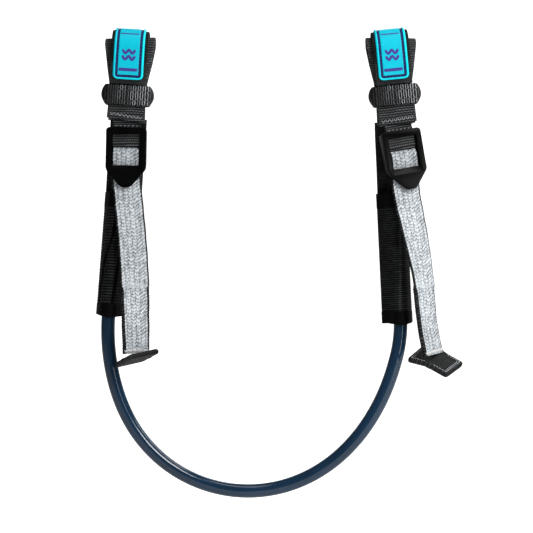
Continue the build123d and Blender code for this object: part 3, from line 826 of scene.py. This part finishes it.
def build_base(name, loop, bottom, slant):
    """The folded webbing sewn across the front, with its zigzag of stitches."""
    y = BASE_FRONT + STRAP_THICK / 2
    line = side_line([(y, BASE_TOP), (y, bottom)], [])
    share = np.linspace(0, 1, len(line))
    ribbon = Ribbon(line, BASE_HALF + 0.5 * share**2, STRAP_THICK - 0.1, loop)
    length = ribbon.along[-1]
    ribs = ribbed(1.62, 0.4, warp=2.3, wander=0.3, sharp=1.3)

    def front(u, v):
        return ribs(u, v - slant * (u / STRAP_WIDTH) * (v / length) ** 2)

    piece = strap(name + "_base_fold", ribbon, front, WEB, ["ribs"])
    shear_end(piece, loop, bottom, slant, length)
    finish(piece, name + "_end", "ribbed_webbing", name + "_base_webbing")
    stitches = []
    row = length - 2.9
    for i in range(8):
        u = -11.2 + 2.8 * i
        lean = slant * u / STRAP_WIDTH
        stitches.append(((u, row - 1.0 - lean), (u + 1.5, row + 0.8 - lean)))
        stitches.append(((u + 1.5, row + 0.8 - lean), (u + 2.6, row - 1.0 - lean)))
    piece = sew(name + "_base_thread", ribbon, stitches, 0.35, 0.42, 0.42, "dark_thread")
    finish(piece, name + "_end", "black_thread", name + "_base_stitching")


def shear_end(piece, loop, bottom, slant, length):
    """Slant the lower edge of a flat piece, more towards its end."""
    back = np.linalg.inv(loop)
    points = np.array([v.co for v in piece.data.vertices]) / MM
    local = placed(points, back)
    share = np.clip((local[:, 2] - bottom) / length, 0, 1)
    local[:, 2] += slant * local[:, 0] / STRAP_WIDTH * (1 - share) ** 2
    piece.data.vertices.foreach_set("co", (placed(local, loop) * MM).ravel())
    piece.data.update()


# ---- keeper ----
KEEPER_TOP = -19.3
KEEPER_HEIGHT = 13.7
KEEPER_Y = -1.4
KEEPER_HALF_WIDTH = 17.15
KEEPER_HALF_DEPTH = 6.1
KEEPER_CORNER = 4.75
LOOP_COLUMN = 3.3
LOOP_ROWS = (0, 3.3, 9.9, KEEPER_HEIGHT)


def outward_of(outline):
    """Directions that point out of a closed outline in plan."""
    ahead = np.roll(outline, -1, axis=0) - np.roll(outline, 1, axis=0)
    return unit(np.column_stack([ahead[:, 1], -ahead[:, 0], 0 * ahead[:, 0]]))


def keeper_outline():
    """The keeper's middle line in plan, evenly spaced, with outward directions."""
    x, y = KEEPER_HALF_WIDTH, KEEPER_HALF_DEPTH
    corners = [(0, -y, 0), (x, -y, 0), (x, y, 0), (-x, y, 0), (-x, -y, 0), (0, -y, 0)]
    run = rounded_line(corners, [KEEPER_CORNER] * 4, KNIT_STEP)[:-1]
    return run, outward_of(run)


def elastic_loops(around, height):
    """Three rows of tall loops, each a pair of strands that meet at the row's ends."""
    rows = np.array(LOOP_ROWS)
    number = np.clip(np.searchsorted(rows, height) - 1, 0, 2)
    share = (height - rows[number]) / (rows[number + 1] - rows[number])
    shift = around / LOOP_COLUMN + 0.5 * number
    column = np.floor(shift)
    off = (shift - column - 0.5) * LOOP_COLUMN
    spread = 0.86 * np.clip(np.sin(pi * np.clip(share, 0, 1)), 0, 1) ** 0.28
    strand = np.exp(-((np.abs(off) - spread) / 0.38) ** 2)
    return strand * (0.78 + 0.22 * scatter(column, number))


def build_keeper(name, loop):
    outline, outward = keeper_outline()
    around = np.arange(len(outline)) * KNIT_STEP
    sideways = np.abs(outward[:, 0]) ** 2
    seams = 0.25 * sideways * (0.5 + 0.5 * np.cos(2 * pi * around / 0.9))
    painted_light_from_right = np.clip(1.02 + outline[:, 0] / 40, 0.68, 1.3)    # painted light: lighter towards the right, as if lit from the right
    heights = np.linspace(0, KEEPER_HEIGHT, 52)
    points, weave = [], []

    def add_ring(height, grow, tone):
        points.append(outline + outward * grow[:, None] + (0, 0, height))
        weave.append(np.column_stack([around, 0 * around + height, tone]))

    for height in heights:
        level = 2 * height / KEEPER_HEIGHT - 1
        power, most = (2.2, 2.2) if level > 0 else (1.9, 3.4)
        droop = np.abs(level) ** power * most
        rim = 0.55 * np.abs(level) ** 6
        loops = elastic_loops(around, height + 0 * around) * (1 - sideways)
        grow = 1.0 - rim + 0.75 * loops - sideways * np.minimum(droop, 3.2) + 0.12 * seams
        add_ring(height, grow, np.clip(loops * painted_light_from_right + seams, 0, 1))
    for height in heights[::-3]:
        level = 2 * height / KEEPER_HEIGHT - 1
        grow = -1.2 + 0.4 * np.abs(level) ** 4 - sideways * 1.5 * np.abs(level) ** 2
        add_ring(height, grow, 0 * around + 0.3)
    middle = placed(np.vstack(points) + (0, KEEPER_Y, KEEPER_TOP - KEEPER_HEIGHT), loop)
    faces = ring_faces(len(points), len(outline), closed_rows=True)[:, ::-1].tolist()
    piece = make_mesh(name + "_keeper_band", middle, faces, np.vstack(weave), ["elastic"])
    finish(piece, name + "_keeper", "elastic", name + "_keeper")


# ---- buckle ----
EDGE_ROUND = 0.55
FLAT_ANGLE = radians(1.5)       # faces closer than this are one flat face
EDGE_ANGLE = radians(28)        # steeper edges are rounded
SMOOTH_ANGLE = radians(35)


def build_buckle(name):
    """The CAD buckle's own shape with its edges rounded."""
    mesh = bmesh.new()
    mesh.from_mesh(frame["nodes"][name + "_buckle"].data)
    bmesh.ops.remove_doubles(mesh, verts=mesh.verts, dist=1e-5)
    bmesh.ops.dissolve_limit(mesh, angle_limit=FLAT_ANGLE, verts=mesh.verts, edges=mesh.edges)
    sharp = [e for e in mesh.edges if len(e.link_faces) == 2 and e.calc_face_angle(0) > EDGE_ANGLE]
    bmesh.ops.bevel(mesh, geom=sharp, offset=EDGE_ROUND * MM, offset_type="OFFSET", segments=3,
                    profile=0.5, affect="EDGES", clamp_overlap=True)
    rounded = bpy.data.meshes.new(name + "_buckle_moulding")
    mesh.to_mesh(rounded)
    mesh.free()
    rounded.materials.clear()
    rounded.materials.append(LOOKS["buckle"])
    rounded.polygons.foreach_set("use_smooth", [True] * len(rounded.polygons))
    rounded.polygons.foreach_set("material_index", [0] * len(rounded.polygons))
    rounded.set_sharp_from_angle(angle=SMOOTH_ANGLE)
    piece = add_object(rounded.name, rounded)
    finish(piece, name + "_buckle", "buckle_plastic", name + "_buckle")


ANCHOR_TURN = 2.1           # from the bar's middle to the middle of the webbing round it


def build_anchor(name, buckle, top, root):
    """The webbing from the base round the buckle's upper bar, and its row of stitches."""
    bar = top - ANCHOR_BAR_DROP
    front, back = BAR_Y - ANCHOR_TURN, BAR_Y + ANCHOR_TURN
    corners = [(-3.0, root + 1.6), (-3.0, root - 1.3), (front, top - 3), (front, bar - ANCHOR_TURN),
               (back, bar - ANCHOR_TURN), (back, root + 1.6)]
    radius = ANCHOR_TURN - 0.05
    line = side_line(corners, [1.2, 2, radius, radius], 0.22)
    ribbon = Ribbon(line, 9.8, 1.2, buckle)
    ribs = ribbed(1.7, 0.35, warp=1.4, sharp=1.1)
    piece = strap(name + "_anchor_loop", ribbon, ribs, WEB, ["ribs", "webbing"])
    ends = placed(np.array([(0, -2.3, root + 1.5), (0, -2.3, root - 4.0)]), buckle)
    bodies = name + "_end", name + "_buckle"
    bend(piece, *bodies, ends, "black_webbing", name + "_anchor_webbing")
    stitches = [((u, 5.2), (u + 1.2, 4.3)) for u in np.arange(-7.6, 7.5, 2.8)]
    thread = sew(name + "_anchor_thread", ribbon, stitches, 0.4, 0.45, 0.45, "dark_thread")
    bend(thread, *bodies, ends, "black_thread")


# ---- silver strap ----
def fuzzy_half(line, half):
    """A strap's half width with the small bumps of its knitted edges."""
    v = np.arange(len(line)) * KNIT_STEP
    return half + 0.16 * np.sin(2 * pi * v / 1.7) + 0.08 * np.sin(v * 0.37)


def silver_strap(name, ribbon, face=silver_knit):
    """A strap with the silver knit in front, and plain webbing behind and at its edges."""
    return strap(name, ribbon, face, WEB, ["silver", "webbing"], border=1)


def loaded_line(buckle, sleeve, side):
    """The loaded strap's line from behind the buckle to the tube, and how narrow it is."""
    start = placed(np.array([(0, BAR_Y + BAR_TURN, side["buckle_top"] - WINDOW_DROP)]), buckle)[0]
    mouth = placed(np.array([(0, 0, MOUTH_Z)]), sleeve)[0]
    end = placed(np.array([(0, 0, LINE_TOP_Z)]), sleeve)[0]
    line = through([start, start * 0.55 + mouth * 0.45 + (0, 0.3, 0), mouth, end], KNIT_STEP)
    share = np.clip((start[2] - line[:, 2]) / (start[2] - mouth[2]), 0, 1)
    return line, share * share * (3 - 2 * share)


SPLIT_Z = -86.0             # below here the loaded strap goes with the sleeve and the line
SILVER_THICK = 1.5
GATHER = 5.0                # how much each side of the strap comes in where it meets the tube
GATHER_THICK = 1.7          # and how much thicker the strap gets


def build_strap_turn(name, buckle, sleeve, side):
    """The strap from behind the buckle, over the lower bar and under the thumb plate."""
    top = side["buckle_top"]
    bar = top - STRAP_BAR_DROP
    window_bottom = top - WINDOW_DROP
    front, back = BAR_Y - BAR_TURN, BAR_Y + BAR_TURN
    corners = [(back, window_bottom), (back, bar + BAR_TURN), (front, bar + BAR_TURN),
               (front, bar - 2.5), (-5.3, window_bottom), (-6.4, top - PLATE_TIP_DROP)]
    radius = BAR_TURN - 0.05
    line = placed(side_line(corners, [radius, radius, 3, 8], KNIT_STEP), buckle)
    tail_top = np.array(side["tail"][0][:3])
    line = np.vstack([line[:-3], tail_top + (0, 0.05, -1.0)])
    behind, narrowed = loaded_line(buckle, sleeve, side)
    upper = behind[:, 2] > SPLIT_Z
    behind, narrowed = behind[upper][:0:-1], narrowed[upper][:0:-1]
    share = np.concatenate([narrowed, np.zeros(len(line))])[:, None]
    line = resample(np.hstack([np.vstack([behind, line]), share]), KNIT_STEP)
    share = line[:, 3]
    turned = unit(buckle[:3, :3] @ np.array((1.0, 0, 0)))
    across = turned * (1 - share[:, None]) + np.outer(share, (1, 0, 0))
    half = fuzzy_half(line, ADJUST_WIDTH / 2 - GATHER * share)
    ribbon = Ribbon(line, half, SILVER_THICK + GATHER_THICK * share, across=across)

    def face(u, v):
        height, tone = silver_knit(u, v)
        return height, 0.8 * tone                       # painted shade: the whole piece darker, for the shadow in the buckle's window

    piece = silver_strap(name + "_silver_turn", ribbon, face)
    ends = tail_top + (0, 0, 4.5), tail_top + (0, 0, -1.0)
    bend(piece, name + "_buckle", name + "_end", ends, "silver_webbing", name + "_strap_turn")


def tail_across(turns):
    return np.column_stack([np.cos(np.radians(turns)), np.sin(np.radians(turns)), 0 * turns])


TACK_Z = -157.0             # the row of stitches that holds the doubled end
DOUBLED_THICK = 1.6         # what the second layer adds


def tail_face(tack, before=0.0):
    """The tail's knit with its seam, for a piece that starts some way along the tail."""
    def face(u, v):
        v = v + before
        height, tone = silver_knit(u, v)
        height = height * np.clip(v / 30, 0.4, 1)       # flatter under the thumb plate
        seam = 0.65 * np.exp(-((v - tack + 0.4 * np.sin(1.7 * u)) / 1.0) ** 2)
        upright = 0.5 + 0.5 * np.cos(2 * pi * u / 1.1)
        height = height * (1 - seam) + seam * (0.55 + 0.12 * upright)
        return height, tone * (1 - seam) + seam * (0.62 + 0.22 * upright)
    return face


def build_tail(name, side):
    """The hanging tail, its doubled end and the white stitches over the handle."""
    stations = np.array(side["tail"] + [side["tail_end"]])
    whole = through(stations, KNIT_STEP)
    tail_length = np.flatnonzero(whole[:, 2] > side["tail"][-1][2])[-1]
    tack = np.flatnonzero(whole[:, 2] > TACK_Z)[-1] * KNIT_STEP
    doubled = np.clip((np.arange(len(whole)) * KNIT_STEP - tack) / 2.5, 0, 1)
    thick = SILVER_THICK + DOUBLED_THICK * doubled
    across = tail_across(whole[:, 3])
    tangents = unit(np.gradient(whole[:, :3], axis=0))
    centres = whole[:, :3] - np.cross(tangents, across) * (DOUBLED_THICK / 2 * doubled)[:, None]
    half = fuzzy_half(whole, ADJUST_WIDTH / 2)

    def part(rows):
        return Ribbon(centres[rows], half[rows], thick[rows], across=across[rows])

    ribbon = part(slice(0, tail_length + 1))
    piece = silver_strap(name + "_silver_tail", ribbon, tail_face(tack))
    ends = stations[0, :3], centres[tail_length]
    bend(piece, name + "_end", name + "_pull", ends, "silver_webbing", name + "_tail")
    face = tail_face(tack, before=ribbon.along[-2])
    ribbon = part(slice(tail_length - 1, len(whole) + 1))
    piece = silver_strap(name + "_silver_tail_end", ribbon, face)
    finish(piece, name + "_pull", "silver_webbing", name + "_tail_end")
    build_white_tack(name, ribbon)


def build_white_tack(name, ribbon):
    """A dense row of upright white stitches where the strap is sewn to its handle."""
    length = ribbon.along[-1]
    u = np.arange(-9.2, 9.3, 0.95)
    shake = scatter(np.arange(len(u)), 5.0)
    stitches = [((a, length - 2.6 - 0.5 * s), (a + 0.35, length - 0.9)) for a, s in zip(u, shake)]
    piece = sew(name + "_white_tack", ribbon, stitches, 0.75, 0.6, 0.5, "white_thread")
    finish(piece, name + "_pull", "silver_webbing")


HANDLE_HALF = 11.0
HANDLE_DROP = 1.4
HANDLE_THICK = 3.2
HANDLE_CORNER = 2.4
STITCH = 1.9
STITCH_GAP = 0.22           # the share of a stitch's length before its thread shows


def build_handle(name, side):
    """The stitched handle: two wings of doubled webbing under the strap's end."""
    x, y, z, _ = side["tail_end"]
    root = np.array((x, y, z - HANDLE_THICK / 2 - HANDLE_DROP))
    across = unit(np.array(side["handle_across"]))
    front, back = (
        unit(np.array(wing)) * (reach - 0.8)
        for wing, reach in zip(side["handle_wings"], side["wing_lengths"])
    )
    line = rounded_line((root + back, root, root + front), [4.0], 0.3)
    along = distances(line)
    length = along[-1]
    to_end = np.minimum(along, length - along)
    thick = HANDLE_THICK - 0.5 - 0.7 * np.clip(1 - to_end / 1.2, 0, 1) ** 2
    ribbon = Ribbon(line, HANDLE_HALF - corner_cut(to_end, HANDLE_CORNER), thick, across=across)
    ribs = ribbed(1.7, 0.25, warp=1.2, sharp=1.2)

    def face(u, v):
        height, tone = ribs(u, v)
        inset = rounded_inset(u, v, HANDLE_HALF, length, HANDLE_CORNER)
        hem = np.interp(inset, [0, 0.6, 2.0, 2.5], [0.05, 0.3, 0.3, 0.0])
        middle = np.exp(-((v - length / 2) / 2.0) ** 2)
        # The hem's tone is raised too: a painted highlight on its roll.
        return height + hem + 0.3 * middle, np.clip(tone * 0.62 + 0.3 * hem, 0, 1)

    piece = strap(name + "_handle_plates", ribbon, face, face, ["ribs"])
    finish(piece, name + "_pull", "black_webbing", name + "_pull_handle")
    stitches = handle_stitches(length)
    piece = sew(name + "_handle_thread", ribbon, stitches, 0.4, 0.7, 0.6, "dark_thread", sides=6)
    finish(piece, name + "_pull", "black_thread")


def handle_rows(length, inset):
    """Stitch rows round each wing."""
    x = HANDLE_HALF - inset
    for tip, near in ((inset, length / 2 - 3.0), (length - inset, length / 2 + 3.0)):
        yield (-x, tip), (x, tip)
        if inset < 3:
            yield (-x, near), (-x, tip)
            yield (x, near), (x, tip)


def handle_stitches(length):
    """Two sets of rows, cut into stitches with a gap before each."""
    stitches = []
    for inset in (2.2, 3.4):
        for start, end in handle_rows(length, inset):
            run = end[0] - start[0], end[1] - start[1]
            spots = np.linspace(0, 1, int(np.hypot(*run) / STITCH) + 1)
            corners = [(start[0] + run[0] * s, start[1] + run[1] * s) for s in spots]
            for a, b in zip(corners, corners[1:]):
                step = (b[0] - a[0]) * STITCH_GAP, (b[1] - a[1]) * STITCH_GAP
                stitches.append(((a[0] + step[0], a[1] + step[1]), b))
    return stitches


def build_live_strap(name, buckle, sleeve, side):
    """The lower run of the loaded strap, down to the line's end."""
    line, share = loaded_line(buckle, sleeve, side)
    lower = line[:, 2] < SPLIT_Z + 0.6
    line, share = line[lower][::-1], share[lower][::-1]
    half = ADJUST_WIDTH / 2 - GATHER * share
    ribbon = Ribbon(line, half, SILVER_THICK + GATHER_THICK * share)
    piece = silver_strap(name + "_loaded_strap", ribbon)
    ends = line[-1], line[0]
    bend(piece, name + "_end", "line", ends, "silver_webbing", name + "_live_strap")


# ---- sleeve and carrier ----
def build_carrier(name, sleeve, side, base):
    """The webbing from the base down behind the buckle to the sleeve's back."""
    back = SLEEVE_BACK + HEM_PROUD + 0.1 + STRAP_THICK / 2
    corners = [(2.0, base + 2.0), (2.0, base), (5.2, base - 7.0), (5.2, -78.0), (back, MOUTH_Z),
               (back, -118.0)]
    line = side_line(corners, [3, 4, 8, 8]) + (side["carrier_shift"], 0, 0)
    ribbon = Ribbon(line, STRAP_WIDTH / 2, STRAP_THICK - RELIEF_ROOM, sleeve)
    piece = strap(name + "_carrier_web", ribbon, WEB, WEB, ["webbing"])
    finish(piece, name + "_end", "black_webbing", name + "_carrier_strap")


def softened(corners):
    """A closed outline with its corners cut back three times."""
    points = np.array(corners, float)
    for _ in range(3):
        after = np.roll(points, -1, axis=0)
        pairs = [0.75 * points + 0.25 * after, 0.25 * points + 0.75 * after]
        points = np.stack(pairs, axis=1).reshape(-1, 2)
    return points


SLEEVE_POINTS = 220
SLEEVE_RELIEF = 0.4
CREASE_WIDTH = 0.8
HEM_SAG = 1.7               # how far the lower edge hangs down in front


def sleeve_outline(reach):
    """The sleeve's outline in plan, flat at the back and ridged in front, and its length."""
    low, high = reach
    ridge = [(6.9, -1.2), (3.6, -6.8)]
    corners = [(low, SLEEVE_BACK), (low - 0.2, 4.6)] + [(-x, y) for x, y in ridge]
    corners += [(x, y) for x, y in reversed(ridge)] + [(high + 0.2, 4.6), (high, SLEEVE_BACK)]
    corners.append(((low + high) / 2, SLEEVE_BACK))
    run = softened(corners)
    closed = np.column_stack([np.vstack([run, run[:1]]), np.zeros(len(run) + 1)])
    length = np.linalg.norm(np.diff(closed, axis=0), axis=1).sum()
    return resample(closed, length / SLEEVE_POINTS)[:-1], length


def crease_share(x, z, creases):
    """How far each point across the sleeve is into a crease."""
    middles = [np.interp(-z, [-c[1] for c in line], [c[0] for c in line]) for line in creases]
    return sum(np.exp(-((x - middle) / CREASE_WIDTH) ** 2) for middle in middles)


def build_sleeve(name, sleeve, side):
    """The ribbed sleeve round the line's end, with smooth hems and soft creases."""
    outline, length = sleeve_outline(side["sleeve_reach"])
    outward = outward_of(outline)
    around = np.arange(len(outline)) * length / len(outline)
    top, bottom = side["sleeve_z"]
    upper, lower = top - side["hems"][0], bottom + side["hems"][1]
    rows = np.linspace(top, bottom, int((top - bottom) / SIDE_STEP))
    is_front = outline[:, 1] < 4.0
    rib = ribbed(side["sleeve_rib"], 1.0, warp=0.8, wander=0.15, sharp=1.3)
    points, weave = [], []
    for z in rows:
        in_hem = np.clip(max(z - upper, lower - z) / 0.4 + 0.5, 0, 1)
        _, tone = rib(around, np.full(len(around), z))
        crease = crease_share(outline[:, 0], z, side["creases"]) * is_front * (1 - in_hem)
        dent = side["crease_depth"] * crease
        lip = np.clip(1 - min(top - z, z - bottom) / 0.6, 0, 1)
        grow = SLEEVE_RELIEF * tone * (1 - in_hem) + HEM_PROUD * in_hem - dent - 0.35 * lip**2
        sag = np.clip((lower - z) / (lower - bottom), 0, 1) ** 2
        droop = sag * HEM_SAG * np.clip(1 - np.abs(outline[:, 0] - 0.5) / 9, 0, 1) * is_front
        heights = np.column_stack([0 * droop, 0 * droop, z - droop])
        points.append(outline + outward * grow[:, None] + heights)
        # Painted shade: darker between the ribs and in the creases; where a crease is a ridge (a negative depth),
        # a painted highlight makes it lighter.
        shade = tone * (1 - in_hem) * (1 - dent) + 0.35 * in_hem
        weave.append(np.column_stack([around, 0 * around - z, shade]))
    inner = unit(outline) * SLEEVE_BORE / 2
    for z in (bottom + 0.2, bottom + 3, (top + bottom) / 2, top - 3, top - 0.2):
        points.append(inner + (0, 0, z))
        weave.append(np.column_stack([around, 0 * around - z, 0 * around + 0.1]))
    faces = ring_faces(len(points), len(outline), closed_rows=True).tolist()
    mesh_points = placed(np.vstack(points), sleeve)
    piece = make_mesh(name + "_sleeve_cloth", mesh_points, faces, np.vstack(weave), ["sleeve"])
    finish(piece, name + "_end", "sleeve_webbing",
           name + "_sleeve", name + "_sleeve_top_hem", name + "_sleeve_bottom_hem")


# ---- each end ----
def build_end(name, side):
    loop, buckle, sleeve, root = end_frames(name, side)
    base = root + ROOT_DROP
    build_boom_strap(name, loop, base)
    build_tab(name, loop)
    build_pad(name, side, base)
    build_patches(name, loop)
    build_base(name, loop, base, side["base_slant"])
    build_keeper(name, loop)
    build_buckle(name)
    build_anchor(name, buckle, side["buckle_top"], root)
    build_strap_turn(name, buckle, sleeve, side)
    build_tail(name, side)
    build_handle(name, side)
    build_live_strap(name, buckle, sleeve, side)
    build_carrier(name, sleeve, side, base)
    build_sleeve(name, sleeve, side)
    paint(name + "_end_plug", "plug")


def paint(node_name, look):
    """Give a carried-over CAD node its procedural material."""
    mesh = frame["nodes"][node_name].data
    mesh.materials.clear()
    mesh.materials.append(LOOKS[look])


# ---- camera, floor and lights ----
CAMERA_AT = (0.0041, -1.4, -0.1439)
LENS = 137.0
SENSOR = 36.0
FLOOR_Z = -0.43             # below the line when both ends are let out
FLOOR_FRONT = -3.0
FLOOR_SIDE = 4.0
BACKDROP_Y = 2.3
BACKDROP_TOP = 2.5


def build_camera():
    data = bpy.data.cameras.new("camera")
    data.lens = LENS
    data.sensor_width = SENSOR
    camera = add_object("camera", data)
    camera.location = CAMERA_AT
    camera.rotation_euler = (radians(90), 0, 0)
    bpy.context.scene.camera = camera


def floor_material():
    """Pale, and shining with its own light, which the camera sees most; dimmer near the object, as a painted
    shadow under it.
    """
    material, tree, shader = new_material("pale_floor", Roughness=0.9, Specular_IOR_Level=0.1)
    shader.inputs["Emission Color"].default_value = (1, 1, 1, 1)
    place = node(tree, "TexCoord").outputs["Object"]
    cloud = scaled_noise(tree, place, (1.0, 1.0, 1.0), 2.0)
    colour = colour_ramp(tree, cloud, [(0.0, grey(0.93)), (1.0, grey(0.96))])
    tree.links.new(colour, shader.inputs["Base Color"])
    level = node(tree, "VectorMath", {0: place, 1: (1, 1, 0)}, operation="MULTIPLY").outputs[0]
    away = node(tree, "VectorMath", {0: level}, operation="LENGTH").outputs["Value"]
    # Painted shadow: the floor's own light is dimmer from half a metre in towards the middle under the object.
    reach = {"From Min": 0.1, "From Max": 0.5, "To Min": 0.4, "To Max": 1.0}
    glow_and_painted_shadow = node(tree, "MapRange", {"Value": away, **reach}).outputs["Result"]
    rays = node(tree, "LightPath").outputs["Is Camera Ray"]
    shown = node(tree, "MapRange", {"Value": rays, "To Min": 0.12}).outputs["Result"]
    tree.links.new(calculate(tree, "MULTIPLY", glow_and_painted_shadow, shown), shader.inputs["Emission Strength"])
    return material


def build_floor():
    """A pale floor that curves up into a backdrop."""
    corners = [(0, FLOOR_FRONT, FLOOR_Z), (0, BACKDROP_Y, FLOOR_Z), (0, BACKDROP_Y, BACKDROP_TOP)]
    profile = rounded_line(corners, [0.8], 0.08)
    points = [(x, y, z) for _, y, z in profile for x in (-FLOOR_SIDE, FLOOR_SIDE)]
    faces = [(2 * i, 2 * i + 1, 2 * i + 3, 2 * i + 2) for i in range(len(profile) - 1)]
    mesh = bpy.data.meshes.new("floor")
    mesh.from_pydata(points, [], faces)
    mesh.polygons.foreach_set("use_smooth", [True] * len(mesh.polygons))
    mesh.materials.append(floor_material())
    add_object("floor", mesh)


def add_light(name, place, target, size, power, colour=(1, 1, 1)):
    data = bpy.data.lights.new(name, "AREA")
    data.shape = "RECTANGLE"
    data.size, data.size_y = size
    data.energy = power
    data.color = colour
    light = add_object(name, data)
    light.location = place
    light.rotation_euler = (Vector(target) - Vector(place)).to_track_quat("-Z", "Y").to_euler()


def build_light():
    world = bpy.data.worlds.new("studio")
    world.use_nodes = True
    sky = world.node_tree.nodes["Background"]
    sky.inputs["Color"].default_value = (1, 1, 1, 1)
    rays = node(world.node_tree, "LightPath").outputs["Is Camera Ray"]
    strength = node(world.node_tree, "MapRange", {"Value": rays, "To Min": 0.1, "To Max": 1.0})
    world.node_tree.links.new(strength.outputs["Result"], sky.inputs["Strength"])
    bpy.context.scene.world = world
    middle = (0, 0, -0.14)
    add_light("key", (0.72, -1.03, 0.62), middle, (0.45, 0.7), 14.5, (1.0, 0.99, 0.97))
    add_light("strip", (0.78, -1.05, -0.1), (0, 0, -0.1), (0.1, 1.3), 3.0)
    add_light("rim", (0.7, 0.1, 0.5), middle, (0.3, 0.6), 3.0)
    add_light("top", (0.1, -0.3, 1.3), middle, (0.8, 0.6), 4.0)
    add_light("back", (0.5, 1.2, 0.5), middle, (0.8, 0.8), 5.0)
    bpy.context.scene.view_settings.view_transform = "Standard"


build_camera()
build_line()
for end_name, end_side in SIDES.items():
    build_end(end_name, end_side)
paint("core_line", "core")
build_floor()
build_light()
